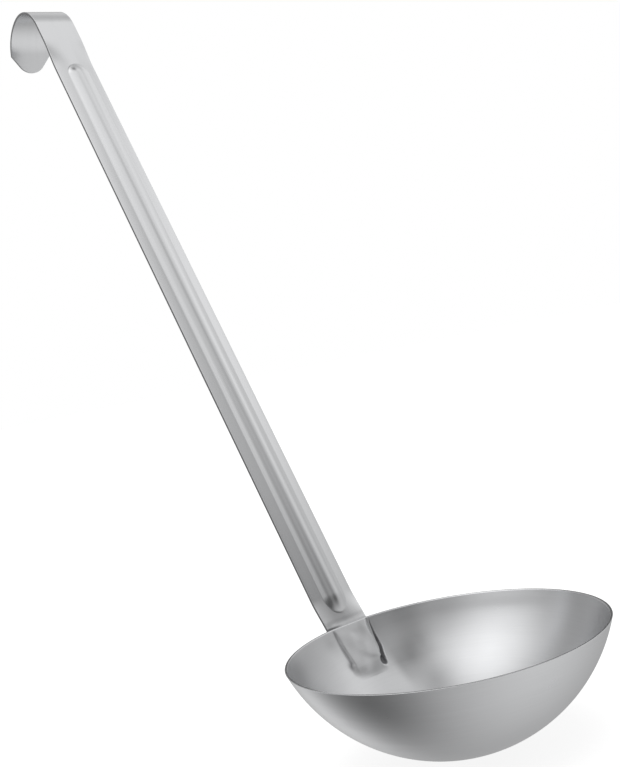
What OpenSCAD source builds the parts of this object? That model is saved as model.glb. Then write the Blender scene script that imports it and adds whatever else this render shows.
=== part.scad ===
// Soup ladle with a hooked strip handle.
// A thin drawn bowl, a stamped strip handle whose narrow tongue lies in a pocket
// pressed into the bowl's wall, and the weld nuggets that join the two.
// Millimetres. Origin: lowest outside point of the bowl. +Z up, rim level,
// the handle leaves the bowl on the -X side, the plane y = 0 is its mid plane.

/* [Bowl] */
// outside diameter of the bowl at its rim
bowl_d = 134; // [126:1:142]
// height from the lowest outside point to the rim
bowl_h = 46.8; // [44:0.2:50]
// thickness of the bowl's sheet
sheet_t = 0.9; // [0.7:0.1:1.2]

/* [Handle strip] */
// width of the strip
strip_w = 22.2; // [20:0.2:24]
// thickness of the strip
strip_t = 1.5; // [1.2:0.1:1.8]
// rise of the handle above the rim plane in degrees
handle_angle = 64.2; // [62:0.1:66]
// length from the rim plane to the start of the hook's bend
handle_len = 362.4; // [300:0.2:380]

/* [Stiffening bead] */
// half of the bead's width at the strip's front face
bead_half_w = 5.9; // [4.5:0.1:6.5]
// height of the bead above the strip's front face
bead_rise = 1.6; // [1.2:0.1:2.2]
// distance from the rim plane to the bead's lower end
bead_low = 6; // [5:0.5:12]
// distance from the bead's upper end to the start of the hook's bend
bead_top_gap = 29; // [24:0.5:40]

/* [Hook] */
// outside radius of the hook's bend
hook_r = 20.9; // [18:0.1:22]
// angle that the bend wraps in degrees
hook_wrap = 141.6; // [130:0.2:150]
// straight run after the bend, before the tip
hook_run = 1.4; // [0.4:0.1:3]
// length of the rounded tip
tip_len = 9.3; // [9:0.1:12]
// radius of the tip's nose
tip_r = 8.2; // [6:0.1:8.4]

/* [Tongue and pocket] */
// width of the tongue, narrower than the strip
tongue_w = 16; // [14:0.2:18]
// length of the tongue below the rim plane
tongue_len = 20; // [18:0.5:21.5]
// corner radius of the tongue's lower end
tongue_r = 4; // [2:0.5:6.5]
// how far the strip's full width reaches below the rim plane
shoulder_low = 1.5; // [1:0.1:1.8]
// bend of the tongue towards the bowl in degrees
tongue_bend = 5; // [4:0.5:6]
// clearance between the tongue's edge and the pocket
pocket_gap = 0.25; // [0.15:0.05:0.4]

/* [Spot welds] */
// radius of a weld nugget
weld_r = 2.2; // [1.8:0.1:2.6]
// depth of the dimple that a weld leaves on each face
weld_dimple = 0.12; // [0.05:0.01:0.2]

/* [Hidden] */
fine = 96;
rim_r = bowl_d / 2;
// sphere that the bowl's outside is a cap of
sph_r = (rim_r * rim_r + bowl_h * bowl_h) / (2 * bowl_h);
// distance from the bowl's axis to the strip's front face at the rim plane
front_x = rim_r - 0.4;
// where the tongue's bend line sits along the strip
bend_s = 1.5;
// bead radii, front and back face, and their common centre depth
bead_ro = (bead_half_w * bead_half_w + bead_rise * bead_rise) / (2 * bead_rise);
bead_ri = bead_ro - strip_t;
bead_c = bead_rise - bead_ro;
bead_s1 = bead_low + bead_half_w;
bead_s2 = handle_len - bead_top_gap - bead_half_w;
half_w = strip_w / 2;
// places of the weld nuggets along and across the tongue
weld_at = [[-4.5, 0], [-10.5, 0], [-16.5, 0]];

// strip frame: x is the height above the front face, y the width,
// z runs up the handle from the rim plane
module strip_frame() {
  translate([-front_x, 0, bowl_h]) rotate([0, handle_angle - 90, 0]) children();
}

// tongue frame: the strip frame turned about the bend line
module tongue_frame() {
  strip_frame() translate([0, 0, bend_s]) rotate([0, -tongue_bend, 0])
    translate([0, 0, -bend_s]) children();
}

// flat plate with the tongue's outline, its lower corners rounded, grown by g
// lo and hi are its heights above the tongue's front face
// full = 1 adds the strip above its shoulders
module tongue_plate(g, lo, hi, top, full = 0) {
  tw = tongue_w / 2;
  translate([lo, 0, 0]) rotate([90, 0, 90]) linear_extrude(height = hi - lo)
    union() {
      translate([-tw - g, -tongue_len + tongue_r])
        square([tongue_w + 2 * g, (full ? 0 : top) + tongue_len - tongue_r]);
      translate([-tw + tongue_r, -tongue_len - g]) square([tongue_w - 2 * tongue_r, tongue_r + g + 1]);
      for (k = [-1, 1]) translate([k * (tw - tongue_r), -tongue_len + tongue_r])
        circle(r = tongue_r + g, $fn = fine);
      if (full) translate([-half_w - 1, -shoulder_low]) square([strip_w + 2, top + shoulder_low]);
    }
}

// long rounded bar that shapes one face of the bead
module bead_bar(r) {
  translate([bead_c, 0, bead_s1]) cylinder(r = r, h = bead_s2 - bead_s1, $fn = fine);
  translate([bead_c, 0, bead_s1]) sphere(r = r, $fn = fine);
  translate([bead_c, 0, bead_s2]) sphere(r = r, $fn = fine);
}

module bowl() color([0.74, 0.745, 0.755]) {
  difference() {
    union() {
      // drawn shell
      difference() {
        translate([0, 0, sph_r]) sphere(r = sph_r, $fn = fine);
        translate([0, 0, sph_r]) sphere(r = sph_r - sheet_t, $fn = fine);
        translate([-sph_r - 1, -sph_r - 1, bowl_h]) cube([2 * sph_r + 2, 2 * sph_r + 2, 2 * sph_r]);
      }
      // wall of the pocket that takes the tongue
      intersection() {
        translate([0, 0, sph_r]) sphere(r = sph_r, $fn = fine);
        tongue_frame() tongue_plate(pocket_gap + sheet_t, -6, sheet_t, 12);
        translate([-sph_r, -sph_r, 0]) cube([sph_r, 2 * sph_r, bowl_h]);
      }
    }
    // room for the tongue
    tongue_frame() tongue_plate(pocket_gap, -8, 0, 12);
    // weld nuggets
    tongue_frame() for (p = weld_at) translate([-0.5, p[1], p[0]])
      rotate([0, 90, 0]) cylinder(r = weld_r, h = sheet_t + 2, $fn = 48);
  }
}

module handle() color([0.79, 0.795, 0.805]) {
  difference() {
    union() {
      intersection() {
        // bent strip, tongue end to hook end
        strip_frame() translate([-hook_r, 0, handle_len]) rotate([90, 0, 0])
          linear_extrude(height = strip_w, center = true) strip_side();
        // rounded end of the tongue
        tongue_frame() tongue_plate(0, -80, 60, handle_len + 90, 1);
      }
      // raised front of the bead
      strip_frame() intersection() {
        bead_bar(bead_ro);
        translate([-strip_t / 2, -half_w, 0]) cube([10, strip_w, handle_len]);
      }
    }
    // hollow back of the bead
    strip_frame() bead_bar(bead_ri);
    // rounded tip of the hook
    strip_frame() translate([-hook_r, 0, handle_len]) rotate([0, -hook_wrap, 0])
      translate([hook_r - strip_t - 1, 0, 0]) rotate([90, 0, 90])
        linear_extrude(height = strip_t + 2) difference() {
          translate([-half_w - 4, hook_run - 2]) square([strip_w + 8, tip_len + 10]);
          tip_outline();
        }
    // weld nuggets
    tongue_frame() for (p = weld_at) translate([-strip_t - 1, p[1], p[0]])
      rotate([0, 90, 0]) cylinder(r = weld_r, h = strip_t + 2, $fn = 48);
  }
}

// side view of the whole strip about the centre of the hook's bend:
// everything behind the front face, less everything behind the back face
module strip_side() {
  run = tongue_len + bend_s + 5;
  fb = -handle_len + bend_s;
  hook_ri = hook_r - strip_t;
  difference() {
    union() {
      polygon([[0, 0], [hook_r, 0], [hook_r, fb],
               [hook_r + run * sin(tongue_bend), fb - run * cos(tongue_bend)],
               [0, fb - run * cos(tongue_bend)]]);
      intersection() {
        circle(r = hook_r, $fn = 2 * fine);
        polygon([[0, 0], [60, -8], [60, 60], [-60, 60],
                 [60 * cos(hook_wrap + 8), 60 * sin(hook_wrap + 8)]]);
      }
      rotate(hook_wrap) square([hook_r, hook_run + tip_len + 2]);
    }
    circle(r = hook_ri, $fn = 2 * fine);
    polygon([[-1, 0], [hook_ri, 0], [hook_ri, fb - strip_t * tan(tongue_bend / 2)],
             [hook_r + (run + 4) * sin(tongue_bend) - strip_t * cos(tongue_bend),
              fb - (run + 4) * cos(tongue_bend) - strip_t * sin(tongue_bend)],
             [-1, fb - (run + 4) * cos(tongue_bend)]]);
    rotate(hook_wrap) translate([-10, 0]) square([hook_ri + 10, hook_run + tip_len + 4]);
  }
}

// outline of the hook's end: sloped flanks and a round nose
module tip_outline() {
  c = hook_run + tip_len - tip_r;
  dx = half_w + 0.5;
  dy = c - hook_run + 0.8;
  union() {
    polygon([[-dx, hook_run - 3], [dx, hook_run - 3], [dx, c - dy],
             [0.95 * nose_x(dx, dy), c + 0.95 * nose_y(dx, dy)],
             [-0.95 * nose_x(dx, dy), c + 0.95 * nose_y(dx, dy)],
             [-dx, c - dy]]);
    translate([0, c]) circle(r = tip_r, $fn = fine);
  }
}

// tangent from (dx, -dy) to a circle of radius tip_r about the origin
function nose_ang(dx, dy) = acos(tip_r / sqrt(dx * dx + dy * dy)) - atan2(dy, dx);
function nose_x(dx, dy) = tip_r * cos(nose_ang(dx, dy));
function nose_y(dx, dy) = tip_r * sin(nose_ang(dx, dy));

module spot_welds() color([0.66, 0.665, 0.68]) {
  tongue_frame() for (p = weld_at) translate([-strip_t + weld_dimple, p[1], p[0]])
    rotate([0, 90, 0]) cylinder(r = weld_r, h = strip_t + sheet_t - 2 * weld_dimple, $fn = 48);
}

bowl();
handle();
spot_welds();
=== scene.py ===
# Soup ladle: drawn bowl, hooked strip handle with a stamped bead, spot welds.
# Metres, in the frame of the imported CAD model. Lengths in this script are given in
# millimetres and turned into metres when a mesh is made.
import math

import bpy
import numpy as np
from mathutils import Matrix, Vector


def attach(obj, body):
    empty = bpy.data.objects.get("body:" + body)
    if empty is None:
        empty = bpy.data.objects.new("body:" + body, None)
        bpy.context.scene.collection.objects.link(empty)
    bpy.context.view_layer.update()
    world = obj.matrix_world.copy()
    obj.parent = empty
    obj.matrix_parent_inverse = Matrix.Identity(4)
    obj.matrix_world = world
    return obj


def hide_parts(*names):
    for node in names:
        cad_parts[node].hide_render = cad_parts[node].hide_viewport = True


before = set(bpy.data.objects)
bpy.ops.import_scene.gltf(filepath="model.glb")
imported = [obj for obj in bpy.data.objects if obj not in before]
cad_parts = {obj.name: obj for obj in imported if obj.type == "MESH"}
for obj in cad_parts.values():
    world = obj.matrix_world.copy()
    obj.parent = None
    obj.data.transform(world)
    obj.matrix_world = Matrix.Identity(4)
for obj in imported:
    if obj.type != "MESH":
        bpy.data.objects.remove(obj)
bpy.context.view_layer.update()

# ---------------------------------------------------------------- dimensions, mm
RIM_R = 67.0
BOWL_H = 46.8
SHEET = 0.9
RS = (RIM_R ** 2 + BOWL_H ** 2) / (2 * BOWL_H)     # sphere of the bowl's outside
RI = RS - SHEET

HALF_W = 11.1
STRIP_T = 1.5
THETA = math.radians(64.2)                         # rise of the handle
TONGUE_BEND = math.radians(5.0)
BEND_S = 1.5
FRONT_X = RIM_R - 0.4
L = 362.4                                          # rim plane to the start of the hook
HOOK_R = 20.9
WRAP = math.radians(141.6)
RUN = 1.4
TIP = 9.3
TIP_R = 8.2
TONGUE = 19.9          # tongue below the rim plane
TONGUE_W = 8.0         # half width of the tongue
TONGUE_R = 4.0
SHOULDER = -1.4        # where the strip's full width starts
WELDS = [-4.5, -10.5, -16.5]
WELD_R = 2.2

BEAD_W = 5.9
BEAD_RISE = 1.55
BEAD_END = 9.0                                     # length of the bead's faded ends
BEAD_S1 = 6.0 + BEAD_END
BEAD_TOP = 6.5
BEAD_S2 = L - 29.0 - BEAD_TOP
ARCH = 1.45                                        # droop of the strip's edges

MM = 0.001


def smooth01(x):
    x = np.clip(x, 0.0, 1.0)
    return x * x * (3 - 2 * x)


def smax(a, b, k):
    h = np.clip(0.5 + 0.5 * (a - b) / k, 0, 1)
    return b + (a - b) * h + k * h * (1 - h)


# ---------------------------------------------------------------- mesh helper
def make_mesh(name, co, faces, slots=1):
    me = bpy.data.meshes.new(name)
    co = np.asarray(co, np.float64) * MM
    # faces outwards: a closed shell has a positive volume
    tri = np.array([(f[0], f[k], f[k + 1]) for f in faces for k in range(1, len(f) - 1)])
    if np.sum(co[tri[:, 0]] * np.cross(co[tri[:, 1]], co[tri[:, 2]])) < 0:
        faces = [tuple(f)[::-1] for f in faces]
    me.from_pydata([tuple(c) for c in co], [], [tuple(f) for f in faces])
    me.validate()
    me.polygons.foreach_set("use_smooth", [True] * len(me.polygons))
    me.update()
    ob = bpy.data.objects.new(name, me)
    bpy.context.scene.collection.objects.link(ob)
    return ob


# stores a point mask on the mesh; used for the painted shade masks
def put_shade_mask(ob, values, name="painted_shade"):
    at = ob.data.attributes.new(name, "FLOAT", "POINT")
    at.data.foreach_set("value", np.asarray(values, np.float32))


def grid_faces(idx, close=False):
    """quads over a 2D array of vertex numbers; close joins the last column to the first"""
    a = idx
    if close:
        a = np.concatenate([idx, idx[:, :1]], axis=1)
    q = np.stack([a[:-1, :-1], a[:-1, 1:], a[1:, 1:], a[1:, :-1]], axis=-1).reshape(-1, 4)
    return [tuple(int(v) for v in f) for f in q]


# ---------------------------------------------------------------- bowl
TH_T = THETA - TONGUE_BEND
NT = (math.sin(TH_T), math.cos(TH_T))              # tongue normal in x, z
DT = (-math.cos(TH_T), math.sin(TH_T))             # up the tongue in x, z
BX = -FRONT_X - BEND_S * math.cos(THETA)
BZ = BOWL_H + BEND_S * math.sin(THETA)

TAB_FLAT = 7.8         # half width of the pocket's flat face
TAB_WALL = 1.6         # width of its left wall
TAB_WALL_R = 0.95      # width of its right wall, which is pressed sharper
TAB_END = -18.9        # lower end of the flat face
TAB_RAMP = 8.0         # length of the lower wall


def x_plane(h, z):
    return BX + (h - (z - BZ) * NT[1]) / NT[0]


def tab_mask(y, s):
    # steep side walls that flare at the rim and spread below the end of the tongue
    flare = 1.3 * np.exp(s / 1.8) * (s < 0.5)
    flat = TAB_FLAT - 0.8 * smooth01((-7.0 - s) / 12.0) + flare
    wall = np.where(y > 0, TAB_WALL_R, TAB_WALL)
    spread = np.where(y > 0, 1.8, 3.2) * smooth01((TAB_END + 1.5 - s) / 6.0)
    qu = np.clip((np.abs(y) - flat + 0.6 * smooth01((TAB_END + 0.5 - s) / 5.0)) / (wall + spread), 0, 2)
    qv = np.clip((TAB_END - s) / TAB_RAMP, 0, 2)
    q = (qu ** 2.2 + qv ** 2.2) ** (1 / 2.2)
    q = np.clip(q, 0, 1)
    m = 1 - q ** 2.2
    # small fillet where the wall meets the bowl
    w = 0.10
    t = np.clip((1 - q) / w, 0, 1)
    m = m * (t * t * (3 - 2 * t) * 0.55 + 0.45 * t)
    return m


def crease(y, s):
    """the narrow crease beside the pocket's right wall, 0 to 1"""
    hw = np.interp(s, [-19.5, -12.0, -6.0, -1.5], [1.0, 0.78, 0.42, 0.15])
    yc = 11.05 - hw - 1.4 * smooth01((-14.0 - s) / 7.0)
    band = 1 - smooth01((np.abs(y - yc) - hw + 0.25) / 0.5)
    band = band * smooth01((s + 22.0) / 1.6) * smooth01((-0.8 - s) / 2.2)
    drop = 1 - smooth01((np.hypot(y - 7.6, (s + 21.3) * 0.75) - 1.45) / 0.7)
    return np.maximum(band, drop)


def pocket_corner_shade(y, s):
    """painted shade in the pressed corners of the pocket and in the crease beside its right wall, 0 to 1"""
    g = 0.95 * crease(y, s)
    left = np.exp(-((y + 9.3 + 0.055 * (s + 2)) / 0.85) ** 2) * smooth01((s + 20.5) / 3.0) * smooth01((-0.5 - s) / 2.0)
    spot = np.exp(-(((y + 9.3) / 1.5) ** 2 + ((s + 19.1) / 2.2) ** 2))
    s1 = np.exp(-(((y - 5.4) / 2.0) ** 2 + ((s + 4.6) / 3.0) ** 2))
    s2 = np.exp(-(((y - 3.9) / 2.3) ** 2 + ((s + 18.3 + 0.35 * (y - 3.9)) / 1.1) ** 2))
    return np.clip(g + 0.34 * left + 0.62 * spot + 0.22 * s1 + 0.26 * s2, 0, 1)


def weld_dip(y, s, r=2.7):
    """shallow round dent that each weld leaves, 0 to 1"""
    d = np.zeros_like(y)
    for sw in WELDS:
        q = np.clip(np.hypot(y, s - sw) / r, 0, 1)
        d = np.maximum(d, (1 - q * q) ** 2)
    return d


def pocket_dx(x, y, z, outer):
    """shift in x that presses the pocket into one face of the shell"""
    s = (x - BX) * DT[0] + (z - BZ) * DT[1] + BEND_S
    wave = 0.05 * np.sin(0.55 * y + 0.9) * np.sin(0.42 * s + 0.4) + 0.03 * np.sin(0.9 * y - 0.5 * s)
    h = np.where(outer, 0.0, SHEET - 0.035 * weld_dip(y, s) + wave * smooth01((-s - 1.0) / 4.0))
    xt = x_plane(h, z)
    m = tab_mask(y, s) * (x < -20)
    return m * (xt - x) - np.where(outer, 0.0, 0.42 * crease(y, s)) * (x < -20)


def build_bowl():
    # columns: dense beside the handle
    dense = 17.0
    a = np.concatenate([
        np.arange(-dense, dense, 0.25),
        dense + (360 - 2 * dense) * np.linspace(0, 1, 170, endpoint=False)])
    phi = np.radians(180.0 + a)
    # rows: angle from the bottom of the sphere, dense under the rim
    al_in = math.acos((RS - (BOWL_H - 0.24)) / RI)
    low = math.radians(44.0)
    rows_dense = np.linspace(low, al_in, 118)
    rows_low = np.linspace(0, low, 46)[1:-1]
    ang = np.concatenate([rows_low, rows_dense])
    prof = []          # r, z, share of thickness (0 inside, 1 outside)
    for t in ang:
        prof.append((RI * math.sin(t), RS - RI * math.cos(t), 0.0))
    r_in = math.sqrt(RI ** 2 - (RS - BOWL_H) ** 2)
    r_out = RIM_R
    e = 0.24
    for k in range(1, 6):
        b = math.radians(90 * k / 5)
        prof.append((r_in + e - e * math.cos(b) , BOWL_H - e + e * math.sin(b), 0.12 * k / 5 + 0.0))
    prof.append(((r_in + r_out) / 2, BOWL_H, 0.5))
    for k in range(5, 0, -1):
        b = math.radians(90 * k / 5)
        prof.append((r_out - e + e * math.cos(b), BOWL_H - e + e * math.sin(b), 1 - 0.12 * k / 5))
    al_out = math.acos((RS - (BOWL_H - e)) / RS)
    rows_dense = np.linspace(al_out, low, 118)
    rows_low = np.linspace(low, 0, 46)[1:-1]
    for t in np.concatenate([rows_dense, rows_low]):
        prof.append((RS * math.sin(t), RS - RS * math.cos(t), 1.0))
    prof = np.array(prof)
    r, z, tau = prof[:, 0:1], prof[:, 1:2], prof[:, 2:3]
    X = r * np.cos(phi)[None]
    Y = r * np.sin(phi)[None]
    Z = np.repeat(z, len(phi), 1)
    # shift of the two faces at this height and width
    rr_in = np.sqrt(np.maximum(RI ** 2 - (RS - Z) ** 2, 0))
    rr_out = np.sqrt(np.maximum(RS ** 2 - (RS - Z) ** 2, 0))
    xin = -np.sqrt(np.maximum(rr_in ** 2 - Y ** 2, 1.0))
    xout = -np.sqrt(np.maximum(rr_out ** 2 - Y ** 2, 1.0))
    near = (X < -20) & (Z > 12)
    din = pocket_dx(xin, Y, Z, np.zeros_like(X, bool))
    dout = pocket_dx(xout, Y, Z, np.ones_like(X, bool))
    X = X + np.where(near, din * (1 - tau) + dout * tau, 0.0)
    along = (X - BX) * DT[0] + (Z - BZ) * DT[1] + BEND_S
    # painted shade: the pocket's corners and crease are darkened on the inside face
    pocket_shade_mask = np.where(near, pocket_corner_shade(Y, along) * (1 - tau), 0.0).reshape(-1)
    # painted shade inside, partly haze and partly painted dark reflections: a darker band under the rim and a darker
    # patch beside the pocket
    round_deg = np.degrees(np.arctan2(Y, -X))
    slant = (round_deg - 20.0 - 0.85 * (Z - 26.0)) / 12.0
    patch = np.interp(Z, [15, 22, 26, 31, 36, 42, 46], [0, 0.33, 0.52, 0.46, 0.34, 0.26, 0]) * np.exp(-slant ** 2)
    patch = patch * smooth01((Y - 9.0) / 5.0)
    band = 0.24 * np.exp(-((round_deg - 65.0) / 17.0) ** 2 - ((Z - 42.0) / 2.6) ** 2)
    band = band + 0.24 * np.exp(-((round_deg + 42.0) / 14.0) ** 2 - ((Z - 41.0) / 6.0) ** 2)
    band = band + 0.20 * np.exp(-((round_deg + 12.5) / 4.0) ** 2 - ((Z - 42.5) / 4.0) ** 2)
    haze_and_shade = ((band + patch) * (1 - tau) * (tau < 0.3)).reshape(-1)
    co = np.stack([X, Y, Z], -1).reshape(-1, 3)
    n_r, n_c = X.shape
    idx = np.arange(n_r * n_c).reshape(n_r, n_c)
    faces = grid_faces(idx, close=True)
    global BOWL_EDGE
    row_tau = prof[:, 2]
    edge_row = (row_tau[:-1] > 0.01) & (row_tau[:-1] < 0.999) | ((row_tau[1:] > 0.01) & (row_tau[1:] < 0.999))
    BOWL_EDGE = np.repeat(edge_row.astype(np.int32), n_c)
    # poles
    p_in = len(co)
    p_out = p_in + 1
    co = np.concatenate([co, [[0, 0, SHEET], [0, 0, 0]]])
    for j in range(n_c):
        k = (j + 1) % n_c
        faces.append((p_in, int(idx[0, k]), int(idx[0, j])))
        faces.append((p_out, int(idx[-1, j]), int(idx[-1, k])))
    ob = make_mesh("bowl_shell", co, faces)
    # the painted shade masks go onto the mesh as point attributes
    put_shade_mask(ob, np.concatenate([pocket_shade_mask, [0.0, 0.0]]))
    put_shade_mask(ob, np.concatenate([haze_and_shade, [0.0, 0.0]]), "haze_and_shade")
    return ob


# ---------------------------------------------------------------- handle
def side_line(s):
    """point, normal of the strip's front face in x, z for lengths s"""
    s = np.asarray(s, float)
    px = np.zeros_like(s)
    pz = np.zeros_like(s)
    nx = np.zeros_like(s)
    nz = np.zeros_like(s)
    # straight part and the tongue, with a soft bend
    half = 2.2
    st, ct = math.sin(THETA), math.cos(THETA)
    for i, v in enumerate(s):
        if v <= L:
            if v >= BEND_S + half:
                th = THETA
                x = -FRONT_X - v * ct
                zz = BOWL_H + v * st
            elif v <= BEND_S - half:
                th = TH_T
                x = BX - (v - BEND_S) * math.cos(TH_T)
                zz = BZ + (v - BEND_S) * math.sin(TH_T)
            else:
                f = (BEND_S + half - v) / (2 * half)
                th = THETA - TONGUE_BEND * f
                # blend of the two lines, tangent at both ends
                u = f
                xa = -FRONT_X - v * ct
                za = BOWL_H + v * st
                xb = BX - (v - BEND_S) * math.cos(TH_T)
                zb = BZ + (v - BEND_S) * math.sin(TH_T)
                w = u * u * (3 - 2 * u)
                x = xa + (xb - xa) * w
                zz = za + (zb - za) * w
            px[i], pz[i], nx[i], nz[i] = x, zz, math.sin(th), math.cos(th)
        else:
            a = min((v - L) / HOOK_R, WRAP)
            rest = max(0.0, v - L - HOOK_R * WRAP)
            # local: n axis and d axis
            ln = -HOOK_R + HOOK_R * math.cos(a) - rest * math.sin(a)
            ld = L + HOOK_R * math.sin(a) + rest * math.cos(a)
            nn, nd = math.cos(a), math.sin(a)
            px[i] = -FRONT_X + ln * st - ld * ct
            pz[i] = BOWL_H + ln * ct + ld * st
            nx[i] = nn * st - nd * ct
            nz[i] = nn * ct + nd * st
    return px, pz, nx, nz


def arch_amount(s):
    return smooth01((s + 1.0) / 16.0) * smooth01((352.0 - s) / 20.0)


def bead_rho(s, y):
    """distance from the bead's middle line, with drawn out ends"""
    e = np.maximum(0.0, BEAD_S1 - s) * (BEAD_W / BEAD_END) + np.maximum(0.0, s - BEAD_S2) * (BEAD_W / BEAD_TOP)
    return np.hypot(y, e)


def front_relief(s, y):
    rho = bead_rho(s, y)
    ro = (BEAD_W ** 2 + BEAD_RISE ** 2) / (2 * BEAD_RISE)
    arc = np.sqrt(np.maximum(ro ** 2 - rho ** 2, 0.01)) + BEAD_RISE - ro
    bead = smax(arc, 0 * arc, 0.2)
    return np.where(rho > BEAD_W + 2.5, 0.0, bead)


def back_relief(s, y):
    rho = bead_rho(s, y)
    ro = (BEAD_W ** 2 + BEAD_RISE ** 2) / (2 * BEAD_RISE)
    ri = ro - STRIP_T
    arc = np.sqrt(np.maximum(ri ** 2 - rho ** 2, 0.01)) + BEAD_RISE - ro + STRIP_T
    hol = smax(arc, 0 * arc, 0.3)
    return np.where(rho > BEAD_W + 1.5, 0.0, hol)


def arch(s, y):
    return -ARCH * arch_amount(s) * (y / HALF_W) ** 2


def tongue_front(s, y):
    """height of the tongue's front face, so that it lies against the pocket"""
    # outside face of the shell over this spot
    z = BZ + (s - BEND_S) * DT[1]
    z = np.clip(z, 5, BOWL_H)
    rr = np.sqrt(np.maximum(RS ** 2 - (RS - z) ** 2, 0))
    xo = -np.sqrt(np.maximum(rr ** 2 - y ** 2, 1.0))
    xo = xo + pocket_dx(xo, y, z, np.ones_like(z, bool))
    h = (xo - x_plane(0.0, z)) * NT[0]
    return np.minimum(h, 0.0) - 0.02


def build_handle():
    s_tip0 = L + HOOK_R * WRAP + 0.45
    st = []
    hw = []
    ns = []
    ny = []
    # tongue end: half width of the straight part, then the corner
    w0 = TONGUE_W - TONGUE_R
    for b in np.linspace(0, 90, 13):
        a = math.radians(b)
        st.append(-TONGUE + TONGUE_R - TONGUE_R * math.cos(a))
        hw.append(w0 + TONGUE_R * math.sin(a))
        ns.append(-math.cos(a))
        ny.append(math.sin(a))
    for v in np.arange(-TONGUE + TONGUE_R + 0.5, SHOULDER - 1.2, 0.5):
        st.append(v)
        hw.append(TONGUE_W)
        ns.append(0.0)
        ny.append(1.0)
    # inside corner, shoulder and outside corner
    rc = 0.8
    for b in np.linspace(0, 90, 6):
        a = math.radians(b)
        st.append(SHOULDER - rc + rc * math.sin(a) - 0.02)
        hw.append(TONGUE_W + rc - rc * math.cos(a))
        ns.append(-math.sin(a))
        ny.append(math.cos(a))
    for b in np.linspace(0, 90, 6):
        a = math.radians(b)
        st.append(SHOULDER + rc - rc * math.cos(a))
        hw.append(HALF_W - rc + rc * math.sin(a))
        ns.append(-math.cos(a))
        ny.append(math.sin(a))
    body = np.concatenate([
        np.arange(SHOULDER + 1.2, 20.0, 0.4),
        np.arange(20.0, 318.0, 4.0),
        np.arange(318.0, 342.0, 0.4),
        np.arange(342.0, L, 1.2),
        np.linspace(L, s_tip0, 64)])
    for v in body:
        st.append(v)
        hw.append(HALF_W)
        ns.append(0.0)
        ny.append(1.0)
    # shield shaped end: small corner, straight flank, round nose
    qc = RUN + TIP - TIP_R
    dq = qc - RUN
    b0 = math.acos(TIP_R / math.hypot(HALF_W, dq)) - math.atan2(dq, HALF_W)
    rf = 0.8
    q1 = qc + (TIP_R - rf - (HALF_W - rf) * math.cos(b0)) / math.sin(b0)
    s0 = L + HOOK_R * WRAP
    for b in np.linspace(0, b0, 7):
        st.append(s0 + q1 + rf * math.sin(b))
        hw.append(HALF_W - rf + rf * math.cos(b))
        ns.append(math.sin(b))
        ny.append(math.cos(b))
    ea, eb = (st[-1], hw[-1]), (s0 + qc + TIP_R * math.sin(b0), TIP_R * math.cos(b0))
    for u in np.linspace(0, 1, 12)[1:-1]:
        st.append(ea[0] + (eb[0] - ea[0]) * u)
        hw.append(ea[1] + (eb[1] - ea[1]) * u)
        ns.append(math.sin(b0))
        ny.append(math.cos(b0))
    for b in np.linspace(b0, math.radians(88.6), 32):
        st.append(s0 + qc + TIP_R * math.sin(b))
        hw.append(TIP_R * math.cos(b))
        ns.append(math.sin(b))
        ny.append(math.cos(b))
    st, hw, ns, ny = map(np.array, (st, hw, ns, ny))
    n_s = len(st)
    # rounding of the cut edge: inset and depth share
    re_f, re_b = 0.24, 0.20
    ring = []
    for k in range(0, 6):
        a = math.radians(90 * k / 5)
        ring.append((re_f - re_f * math.sin(a), re_f - re_f * math.cos(a), 0))     # inset, depth from front
    ring.append((0.0, 0.5, 2))
    for k in range(5, -1, -1):
        a = math.radians(90 * k / 5)
        ring.append((re_b - re_b * math.sin(a), re_b - re_b * math.cos(a), 1))     # inset, depth from back
    # positions across the ladder, evenly spaced
    m = 76
    base = np.linspace(-1, 1, m + 1)
    lad = base

    co = []

    def heights(s, y, side):
        f = arch(s, y) + front_relief(s, y)
        b = arch(s, y) + back_relief(s, y) - STRIP_T
        ton = tongue_front(s, y)
        b = b + 0.10 * weld_dip(y, s) * (s < 0)
        w = smooth01((4.0 - s) / 5.0)
        f = f * (1 - w) + np.minimum(ton, f) * w
        b = np.where(s < 4.0, np.minimum(b, f - STRIP_T * 0.97) * w + b * (1 - w), b)
        return f, b

    def place(s, y, h):
        px, pz, nx, nz = side_line(s)
        # the hook's end runs out a little wider and to one side
        w = smooth01((s - (L + HOOK_R * WRAP - 22.0)) / 24.0)
        return np.stack([px + h * nx, y * (1 + 0.055 * w) + 0.15 * w, pz + h * nz], -1)

    def ring_points(sign):
        out = []
        for inset, depth, kind in ring:
            s = st - inset * ns
            y = sign * (hw - inset * ny)
            f, b = heights(s, y, 0)
            if kind == 0:
                h = f - depth
            elif kind == 1:
                h = b + depth
            else:
                h = (f + b) / 2
            out.append(place(s, y, h))
        return out

    left = ring_points(-1)
    right = ring_points(1)
    # front ladder between the first ring points, back ladder between the last
    def ladder(inset, which):
        s = st - inset * ns
        w = hw - inset * ny
        rows = []
        for i in range(n_s):
            y = lad[1:-1] * w[i]
            sv = np.full_like(y, s[i])
            f, b = heights(sv, y, 0)
            rows.append(place(sv, y, f if which == 0 else b))
        return np.array(rows)

    front = ladder(re_f, 0)
    back = ladder(re_b, 1)
    n_in = m - 1
    nr = len(ring)
    # vertex numbers
    blocks = []
    base_i = 0

    def add(arr):
        nonlocal base_i
        arr = np.asarray(arr).reshape(-1, 3)
        co.append(arr)
        ids = np.arange(base_i, base_i + len(arr))
        base_i += len(arr)
        return ids

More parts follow.
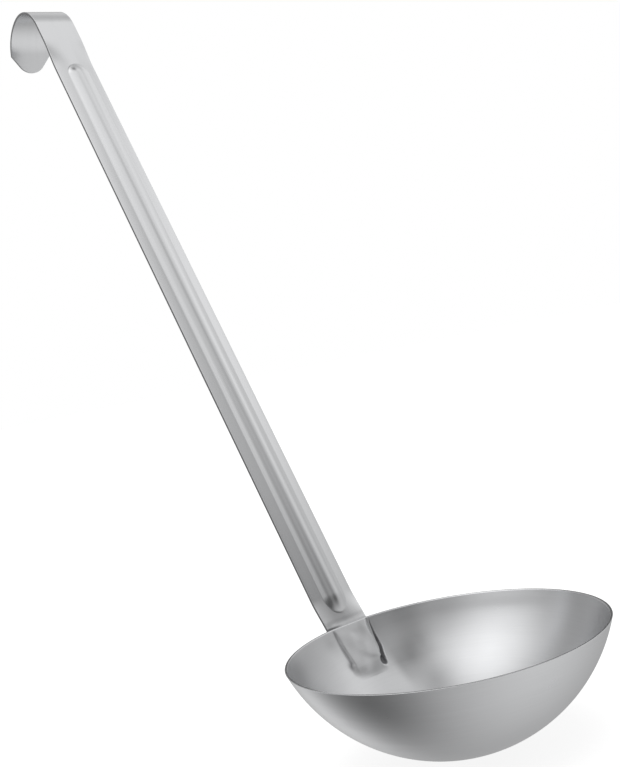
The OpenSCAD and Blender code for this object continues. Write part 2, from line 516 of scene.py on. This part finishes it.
    id_front = add(front).reshape(n_s, n_in)
    id_back = add(back).reshape(n_s, n_in)
    id_left = np.stack([add(l) for l in left], 1)      # n_s, nr
    id_right = np.stack([add(r) for r in right], 1)
    loop = np.concatenate([id_left[:, :1], id_front, id_right, id_back[:, ::-1], id_left[:, ::-1][:, :-1]], axis=1)
    faces = grid_faces(loop, close=True)
    global STRIP_EDGE
    n_loop = loop.shape[1]
    col = np.zeros(n_loop, np.int32)
    lo_r = 1 + n_in                      # first ring point on the right
    col[lo_r + 3: lo_r + nr - 4] = 1
    lo_l = lo_r + nr + n_in              # first ring point on the left, from the back
    col[lo_l + 3: lo_l + nr - 4] = 1
    STRIP_EDGE = np.tile(col, n_s - 1)
    n_side_faces = len(faces)
    # ends
    for e, flip in ((0, False), (n_s - 1, True)):
        rows = [np.concatenate([id_left[e, :1], id_front[e], id_right[e, :1]])]
        for k in range(1, nr - 1):
            a = co_at(co, id_left[e, k])
            b = co_at(co, id_right[e, k])
            t = ((lad[1:-1] + 1) / 2)[:, None]
            pts = a[None] * (1 - t) + b[None] * t
            # follow the strip's section
            inset, depth, kind = ring[k]
            s = np.full(n_in, st[e] - inset * ns[e])
            y = lad[1:-1] * hw[e]
            f, bb = heights(s, y, 0)
            h = f - depth if kind == 0 else (bb + depth if kind == 1 else (f + bb) / 2)
            pts = place(s, y, h)
            ids = add(pts)
            rows.append(np.concatenate([[id_left[e, k]], ids, [id_right[e, k]]]))
        rows.append(np.concatenate([id_left[e, -1:], id_back[e], id_right[e, -1:]]))
        f = grid_faces(np.array(rows))
        if not flip:
            f = [tuple(reversed(q)) for q in f]
        faces += f
    STRIP_EDGE = np.concatenate([STRIP_EDGE, np.ones(len(faces) - n_side_faces, np.int32)])
    allco = np.concatenate(co)
    # outward faces
    faces = [tuple(reversed(q)) for q in faces]
    ob = make_mesh("handle_strip", allco, faces)
    # painted contact shadow on the strip, just above the bowl's rim, stronger at its left corner
    st_, ct_ = math.sin(THETA), math.cos(THETA)
    dx_, dz_ = allco[:, 0] + FRONT_X, allco[:, 2] - BOWL_H
    s_ = -dx_ * ct_ + dz_ * st_
    h_ = dx_ * st_ + dz_ * ct_
    y_ = allco[:, 1]
    line = np.exp(-((s_ - 0.15) / 0.5) ** 2) * (0.25 + 0.75 * smooth01((-2.0 - y_) / 5.0))
    corner = np.exp(-(((y_ + 9.6) / 2.0) ** 2 + ((s_ - 1.3) / 1.6) ** 2))
    put_shade_mask(ob, np.clip(0.9 * line + 0.35 * corner, 0, 1) * (h_ > -1.4) * (s_ > -3))
    return ob


def co_at(blocks, i):
    i = int(i)
    for b in blocks:
        if i < len(b):
            return b[i]
        i -= len(b)
    raise IndexError


# ---------------------------------------------------------------- welds
def build_welds():
    """each nugget: a disc with slightly domed faces, through pocket wall and tongue"""
    obs = []
    for k, sw in enumerate(WELDS):
        prof = [(0.0, SHEET - 0.07)]
        for rr in (0.5, 1.0, 1.5, 1.85):
            prof.append((rr, SHEET - 0.07 - 0.05 * (rr / 2.0) ** 2))
        prof += [(2.0, SHEET - 0.15), (2.0, -STRIP_T + 0.16)]
        for rr in (1.85, 1.5, 1.0, 0.5):
            prof.append((rr, -STRIP_T + 0.035 + 0.09 * (rr / 2.0) ** 2))
        prof.append((0.0, -STRIP_T + 0.035))
        n = 48
        co = []
        rows = []
        for (rr, h) in prof:
            if rr == 0.0:
                rows.append([len(co)])
                co.append((h, 0.0, 0.0))
            else:
                row = []
                for j in range(n):
                    b = 2 * math.pi * j / n
                    row.append(len(co))
                    co.append((h, rr * math.cos(b), rr * math.sin(b)))
                rows.append(row)
        faces = []
        for i in range(len(rows) - 1):
            p, q = rows[i], rows[i + 1]
            for j in range(n):
                j2 = (j + 1) % n
                if len(p) == 1:
                    faces.append((p[0], q[j2], q[j]))
                elif len(q) == 1:
                    faces.append((p[j], p[j2], q[0]))
                else:
                    faces.append((p[j], p[j2], q[j2], q[j]))
        out = []
        for h, y, ds in co:
            v = sw + ds - BEND_S
            out.append((BX + v * DT[0] + h * NT[0], y, BZ + v * DT[1] + h * NT[1]))
        faces = [tuple(reversed(f)) for f in faces]
        obs.append(make_mesh("weld_nugget_%d" % (k + 1), out, faces))
    return obs


# ---------------------------------------------------------------- node helpers
class Net:
    def __init__(self, tree):
        self.t = tree

    def add(self, kind, **props):
        n = self.t.nodes.new(kind)
        for k, v in props.items():
            setattr(n, k, v)
        return n

    def link(self, a, b):
        self.t.links.new(a, b)

    def put(self, sock, v):
        if isinstance(v, (int, float)):
            sock.default_value = v
        elif isinstance(v, (tuple, list)):
            sock.default_value = v
        else:
            self.link(v, sock)

    def math(self, op, a, b=None, c=None, clamp=False):
        n = self.add("ShaderNodeMath", operation=op, use_clamp=clamp)
        self.put(n.inputs[0], a)
        if b is not None:
            self.put(n.inputs[1], b)
        if c is not None:
            self.put(n.inputs[2], c)
        return n.outputs[0]

    def dot(self, a, vec):
        n = self.add("ShaderNodeVectorMath", operation="DOT_PRODUCT")
        self.put(n.inputs[0], a)
        self.put(n.inputs[1], vec)
        return n.outputs["Value"]

    def comb(self, x, y, z):
        n = self.add("ShaderNodeCombineXYZ")
        for i, v in enumerate((x, y, z)):
            self.put(n.inputs[i], v)
        return n.outputs[0]

    def noise(self, vec, scale, detail=2.0, rough=0.5):
        n = self.add("ShaderNodeTexNoise")
        self.put(n.inputs["Vector"], vec)
        n.inputs["Scale"].default_value = scale
        n.inputs["Detail"].default_value = detail
        n.inputs["Roughness"].default_value = rough
        return n.outputs["Fac"]

    def ramp(self, v, lo, hi, a, b):
        n = self.add("ShaderNodeMapRange")
        self.put(n.inputs["Value"], v)
        n.inputs["From Min"].default_value = lo
        n.inputs["From Max"].default_value = hi
        n.inputs["To Min"].default_value = a
        n.inputs["To Max"].default_value = b
        return n.outputs[0]

    def painted_shade(self, col, spots):
        """painted shade: darkens the steel where the mesh carries the painted shade mask, a little uneven"""
        at = self.add("ShaderNodeAttribute", attribute_name="painted_shade", attribute_type="GEOMETRY")
        shade_amount = self.math("MULTIPLY", at.outputs["Fac"], self.ramp(spots, 0.3, 0.7, 0.85, 1.1), clamp=True)
        n = self.add("ShaderNodeMix", data_type="RGBA")
        self.put(n.inputs[0], shade_amount)
        self.link(col, n.inputs[6])
        n.inputs[7].default_value = (0.11, 0.11, 0.115, 1)
        return shade_amount, n.outputs[2]

    def tint(self, fac, c1, c2):
        n = self.add("ShaderNodeMix", data_type="RGBA")
        self.put(n.inputs[0], fac)
        n.inputs[6].default_value = (*c1, 1)
        n.inputs[7].default_value = (*c2, 1)
        return n.outputs[2]


def new_steel(name, rough, aniso=0.0, rot=0.0):
    mat = bpy.data.materials.new(name)
    mat.use_nodes = True
    nt = mat.node_tree
    nt.nodes.clear()
    out = nt.nodes.new("ShaderNodeOutputMaterial")
    bs = nt.nodes.new("ShaderNodeBsdfPrincipled")
    nt.links.new(bs.outputs[0], out.inputs[0])
    bs.inputs["Metallic"].default_value = 1.0
    bs.inputs["Roughness"].default_value = rough
    bs.inputs["Anisotropic"].default_value = aniso
    bs.inputs["Anisotropic Rotation"].default_value = rot
    return mat, Net(nt), bs


def bowl_coords(net):
    """arc length from the bottom in m, and the unit direction about the axis"""
    tc = net.add("ShaderNodeTexCoord")
    sp = net.add("ShaderNodeSeparateXYZ")
    net.link(tc.outputs["Object"], sp.inputs[0])
    x, y, z = sp.outputs
    r = net.math("SQRT", net.math("ADD", net.math("MULTIPLY", x, x), net.math("MULTIPLY", y, y)))
    rs = net.math("MAXIMUM", r, 0.0005)
    ux = net.math("DIVIDE", x, rs)
    uy = net.math("DIVIDE", y, rs)
    t = net.math("ARCTAN2", r, net.math("SUBTRACT", RS * MM, z))
    arc = net.math("MULTIPLY", t, RS * MM)
    return tc.outputs["Object"], arc, ux, uy


def mat_bowl():
    mat, n, bs = new_steel("bowl_satin_steel", BOWL_ROUGH, BOWL_ANISO, 0.25)
    t = n.add("ShaderNodeTangent", direction_type="RADIAL", axis="Z")
    n.link(t.outputs[0], bs.inputs["Tangent"])
    obj, arc, ux, uy = bowl_coords(n)
    # fine turned lines, in arcs that fade along their length
    fine = n.noise(n.comb(n.math("MULTIPLY", arc, 1500.0), n.math("MULTIPLY", ux, 2.2), n.math("MULTIPLY", uy, 2.2)), 1.0, 3.0, 0.6)
    mid = n.noise(n.comb(n.math("MULTIPLY", arc, 420.0), n.math("MULTIPLY", ux, 1.3), n.math("MULTIPLY", uy, 1.3)), 1.0, 2.0, 0.5)
    cloud = n.noise(obj, 38.0, 3.0, 0.55)
    patch = n.noise(obj, 130.0, 2.0, 0.5)
    col = n.tint(n.math("ADD", n.math("MULTIPLY", fine, 0.55), n.math("MULTIPLY", cloud, 0.45)),
                 (0.60, 0.605, 0.615), (0.685, 0.69, 0.70))
    # painted shade from the mesh mask darkens the colour and roughens it a little
    shade_amount, col = n.painted_shade(col, patch)
    # painted shade: the inside is darkened by the haze-and-shade mask, partly haze, partly painted dark reflections
    hz = n.add("ShaderNodeAttribute", attribute_name="haze_and_shade", attribute_type="GEOMETRY")
    haze_shade_amount = n.math("MULTIPLY", hz.outputs["Fac"], n.ramp(cloud, 0.3, 0.7, 0.8, 1.2), clamp=True)
    hm = n.add("ShaderNodeMix", data_type="RGBA")
    n.link(haze_shade_amount, hm.inputs[0])
    n.link(col, hm.inputs[6])
    hm.inputs[7].default_value = (0.08, 0.08, 0.082, 1)
    col = hm.outputs[2]
    n.link(col, bs.inputs["Base Color"])
    rg = n.math("ADD", BOWL_ROUGH - 0.085, n.math("ADD", n.math("MULTIPLY", cloud, 0.09),
                n.math("ADD", n.math("MULTIPLY", mid, 0.05), n.math("MULTIPLY", patch, 0.03))))
    rg = n.math("ADD", rg, n.math("MULTIPLY", shade_amount, 0.2))
    n.link(rg, bs.inputs["Roughness"])
    b = n.add("ShaderNodeBump")
    b.inputs["Strength"].default_value = 1.0
    b.inputs["Distance"].default_value = 0.0000035
    n.link(n.math("ADD", fine, n.math("MULTIPLY", mid, 0.9)), b.inputs["Height"])
    b2 = n.add("ShaderNodeBump")
    b2.inputs["Strength"].default_value = 1.0
    b2.inputs["Distance"].default_value = 0.00003
    n.link(n.math("ADD", cloud, n.math("MULTIPLY", patch, 0.25)), b2.inputs["Height"])
    n.link(b.outputs[0], b2.inputs["Normal"])
    n.link(b2.outputs[0], bs.inputs["Normal"])
    return mat


def strip_coords(net):
    tc = net.add("ShaderNodeTexCoord")
    sp = net.add("ShaderNodeSeparateXYZ")
    net.link(tc.outputs["Object"], sp.inputs[0])
    along = net.dot(tc.outputs["Object"], (-math.cos(THETA), 0.0, math.sin(THETA)))
    depth = net.dot(tc.outputs["Object"], (math.sin(THETA), 0.0, math.cos(THETA)))
    return tc.outputs["Object"], sp.outputs[1], along, depth


def mat_strip():
    mat, n, bs = new_steel("handle_satin_steel", HANDLE_ROUGH, HANDLE_ANISO, 0.0)
    t = n.comb(0.0, 1.0, 0.0)
    n.link(t, bs.inputs["Tangent"])
    obj, y, along, depth = strip_coords(n)
    yy = n.math("MULTIPLY", y, 1.0)
    # long drawn streaks, a few broad ones and many fine ones
    broad = n.noise(n.comb(n.math("MULTIPLY", yy, 620.0), n.math("MULTIPLY", along, 7.0), n.math("MULTIPLY", depth, 5.0)), 1.0, 2.0, 0.5)
    fine = n.noise(n.comb(n.math("MULTIPLY", yy, 3200.0), n.math("MULTIPLY", along, 22.0), n.math("MULTIPLY", depth, 18.0)), 1.0, 3.0, 0.6)
    cloud = n.noise(obj, 45.0, 3.0, 0.5)
    col = n.tint(n.math("ADD", n.math("MULTIPLY", fine, 0.5), n.math("MULTIPLY", broad, 0.5)),
                 (0.63, 0.635, 0.645), (0.73, 0.735, 0.745))
    # painted contact shadow from the mesh mask darkens the strip's colour
    shade_amount, col = n.painted_shade(col, cloud)
    n.link(col, bs.inputs["Base Color"])
    rg = n.math("ADD", HANDLE_ROUGH - 0.08, n.math("ADD", n.math("MULTIPLY", broad, 0.07),
                n.math("ADD", n.math("MULTIPLY", fine, 0.04), n.math("MULTIPLY", cloud, 0.05))))
    n.link(rg, bs.inputs["Roughness"])
    b = n.add("ShaderNodeBump")
    b.inputs["Strength"].default_value = 1.0
    b.inputs["Distance"].default_value = 0.000002
    n.link(n.math("ADD", fine, n.math("MULTIPLY", broad, 2.2)), b.inputs["Height"])
    b2 = n.add("ShaderNodeBump")
    b2.inputs["Strength"].default_value = 1.0
    b2.inputs["Distance"].default_value = 0.00002
    n.link(cloud, b2.inputs["Height"])
    n.link(b.outputs[0], b2.inputs["Normal"])
    n.link(b2.outputs[0], bs.inputs["Normal"])
    return mat


def mat_edge(name, lo, hi, rough):
    """blanked edge: rougher, with short marks across the sheet"""
    mat, n, bs = new_steel(name, rough)
    tc = n.add("ShaderNodeTexCoord")
    marks = n.noise(tc.outputs["Object"], 2600.0, 3.0, 0.6)
    wide = n.noise(tc.outputs["Object"], 210.0, 2.0, 0.5)
    n.link(n.tint(n.math("ADD", n.math("MULTIPLY", marks, 0.5), n.math("MULTIPLY", wide, 0.5)), lo, hi), bs.inputs["Base Color"])
    n.link(n.math("ADD", rough - 0.08, n.math("MULTIPLY", wide, 0.16)), bs.inputs["Roughness"])
    b = n.add("ShaderNodeBump")
    b.inputs["Strength"].default_value = 1.0
    b.inputs["Distance"].default_value = 0.000006
    n.link(marks, b.inputs["Height"])
    n.link(b.outputs[0], bs.inputs["Normal"])
    return mat


def mat_weld():
    mat, n, bs = new_steel("weld_steel", 0.34)
    tc = n.add("ShaderNodeTexCoord")
    spots = n.noise(tc.outputs["Object"], 900.0, 3.0, 0.6)
    n.link(n.tint(spots, (0.52, 0.52, 0.53), (0.64, 0.64, 0.65)), bs.inputs["Base Color"])
    n.link(n.math("ADD", 0.26, n.math("MULTIPLY", spots, 0.16)), bs.inputs["Roughness"])
    b = n.add("ShaderNodeBump")
    b.inputs["Strength"].default_value = 1.0
    b.inputs["Distance"].default_value = 0.00001
    n.link(spots, b.inputs["Height"])
    n.link(b.outputs[0], bs.inputs["Normal"])
    return mat


BOWL_ROUGH, BOWL_ANISO = 0.30, 0.7
HANDLE_ROUGH, HANDLE_ANISO = 0.2, 0.0

bowl = build_bowl()
handle = build_handle()
welds = build_welds()
bowl.data.materials.append(mat_bowl())
bowl.data.materials.append(mat_edge("rim_edge_steel", (0.62, 0.625, 0.635), (0.72, 0.725, 0.735), 0.24))
handle.data.materials.append(mat_strip())
# the strip's cut edge is a much darker steel than its faces: painted shade for the dark its narrow faces show, with a
# rougher sheared finish
handle.data.materials.append(mat_edge("strip_edge_steel", (0.25, 0.252, 0.258), (0.42, 0.423, 0.43), 0.34))
wm = mat_weld()
for w in welds:
    w.data.materials.append(wm)
for ob, zone in ((bowl, BOWL_EDGE), (handle, STRIP_EDGE)):
    mi = np.zeros(len(ob.data.polygons), np.int32)
    mi[:len(zone)] = zone
    ob.data.polygons.foreach_set("material_index", mi)
    ob.data.update()

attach(bowl, "root")
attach(handle, "root")
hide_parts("bowl")
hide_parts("handle")
for w in welds:
    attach(w, "root")
    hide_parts("spot_welds")

# ---------------------------------------------------------------- stage
def disc(name, radius, z, n=96):
    me = bpy.data.meshes.new(name)
    co = [(radius * math.cos(2 * math.pi * i / n), radius * math.sin(2 * math.pi * i / n), z) for i in range(n)]
    me.from_pydata(co, [], [tuple(range(n))])
    ob = bpy.data.objects.new(name, me)
    bpy.context.scene.collection.objects.link(ob)
    return ob


floor = disc("floor", 7.0, 0.0)
fm = bpy.data.materials.new("floor_white")
fm.use_nodes = True
fb = fm.node_tree.nodes["Principled BSDF"]
fb.inputs["Base Color"].default_value = (0.26, 0.26, 0.26, 1)
fb.inputs["Roughness"].default_value = 0.95
fb.inputs["Specular IOR Level"].default_value = 0.0
fb.inputs["Emission Color"].default_value = (1, 1, 1, 1)
fb.inputs["Emission Strength"].default_value = 0.84
floor.data.materials.append(fm)
floor.visible_glossy = False

# pale backdrop all round, seen by the camera only
bd = bpy.data.meshes.new("backdrop")
nb, rb = 64, 6.9
co = []
for k, (rr, zz) in enumerate(((1.0, -0.02), (1.0, 0.25), (0.97, 0.55), (0.85, 0.8), (0.6, 0.96), (0.3, 1.03))):
    for i in range(nb):
        b = 2 * math.pi * i / nb
        co.append((rb * rr * math.cos(b), rb * rr * math.sin(b), rb * zz))
faces = []
for k in range(5):
    for i in range(nb):
        j = (i + 1) % nb
        faces.append((k * nb + i, k * nb + j, (k + 1) * nb + j, (k + 1) * nb + i))
faces.append(tuple(5 * nb + i for i in range(nb)))
bd.from_pydata(co, [], faces)
backdrop = bpy.data.objects.new("backdrop", bd)
bpy.context.scene.collection.objects.link(backdrop)
bm_ = bpy.data.materials.new("backdrop_white")
bm_.use_nodes = True
bn = bm_.node_tree
bn.nodes.clear()
bo = bn.nodes.new("ShaderNodeOutputMaterial")
be = bn.nodes.new("ShaderNodeEmission")
be.inputs[0].default_value = (1, 1, 1, 1)
be.inputs[1].default_value = 1.0
bn.links.new(be.outputs[0], bo.inputs[0])
bd.materials.append(bm_)
for flag in ("visible_diffuse", "visible_glossy", "visible_transmission", "visible_volume_scatter", "visible_shadow"):
    setattr(backdrop, flag, False)

# ---------------------------------------------------------------- light
# soft studio sky: a base level and a few broad lobes (azimuth, elevation, level, narrowness)
SKY_BASE = 0.22
SKY = [
    (-100, 66, 1.56, 4.4),
    (33, 60, 1.01, 8.4),
    (29, -40, 0.68, 1.4),
    (-21, 29, -0.78, 8.0),
    (-117, -54, -0.30, 8.9),
    (176, -38, 0.53, 21.8),
    (22, 77, -1.22, 47.7),
    (106, 73, -0.75, 4.5),
    (121, 36, 0.94, 7.0),
    (29, 53, -0.67, 47.6),
    (-28, 38, 0.72, 34.1),
    (88, 37, 0.26, 49.8),
    (67, 34, 0.43, 45.4),
    (28, 24, -0.58, 32.4),
    (34, 68, 0.31, 25.4),
    (134, 15, -1.42, 29.1),
    (177, -8, 0.26, 11.1),
]
world = bpy.data.worlds.new("studio")
bpy.context.scene.world = world
world.use_nodes = True
world.node_tree.nodes.clear()
wn = Net(world.node_tree)
wout = wn.add("ShaderNodeOutputWorld")
wbg = wn.add("ShaderNodeBackground")
wn.link(wbg.outputs[0], wout.inputs[0])
wtc = wn.add("ShaderNodeTexCoord")
wdir = wn.add("ShaderNodeVectorMath", operation="NORMALIZE")
wn.link(wtc.outputs["Generated"], wdir.inputs[0])
acc = SKY_BASE
for az, el, level, k in SKY:
    a, e = math.radians(az), math.radians(el)
    d = wn.dot(wdir.outputs[0], (math.cos(e) * math.cos(a), math.cos(e) * math.sin(a), math.sin(e)))
    lobe = wn.math("EXPONENT", wn.math("MULTIPLY", wn.math("SUBTRACT", d, 1.0), k))
    acc = wn.math("ADD", wn.math("MULTIPLY", lobe, level), acc)
acc = wn.math("MAXIMUM", acc, 0.1)
wn.link(acc, wbg.inputs["Strength"])
wbg.inputs["Color"].default_value = (1, 1, 1, 1)

# broad overhead light for the floor
al = bpy.data.lights.new("overhead", "AREA")
al.shape = "DISK"
al.size = 3.0
al.energy = 60.0
alo = bpy.data.objects.new("overhead", al)
bpy.context.scene.collection.objects.link(alo)
alo.location = (0.0, 0.0, 3.0)
alo.visible_glossy = False
alo.visible_camera = False

# ---------------------------------------------------------------- camera
cam = bpy.data.cameras.new("cam")
cam.sensor_width = 36.0
cam.sensor_fit = "AUTO"
cam.lens = 56.07
cam.clip_start = 0.01
cam.clip_end = 60
co = bpy.data.objects.new("cam", cam)
bpy.context.scene.collection.objects.link(co)
co.matrix_world = Matrix((
    (0.57760004, 0.08656429, 0.8117172, 0.371251),
    (0.791292, 0.18496361, -0.58279107, -0.307847),
    (-0.20058704, 0.97892548, 0.03833736, 0.177015),
    (0, 0, 0, 1)))
bpy.context.scene.camera = co
bpy.context.scene.view_settings.view_transform = "Standard"
bpy.context.scene.view_settings.look = "None"
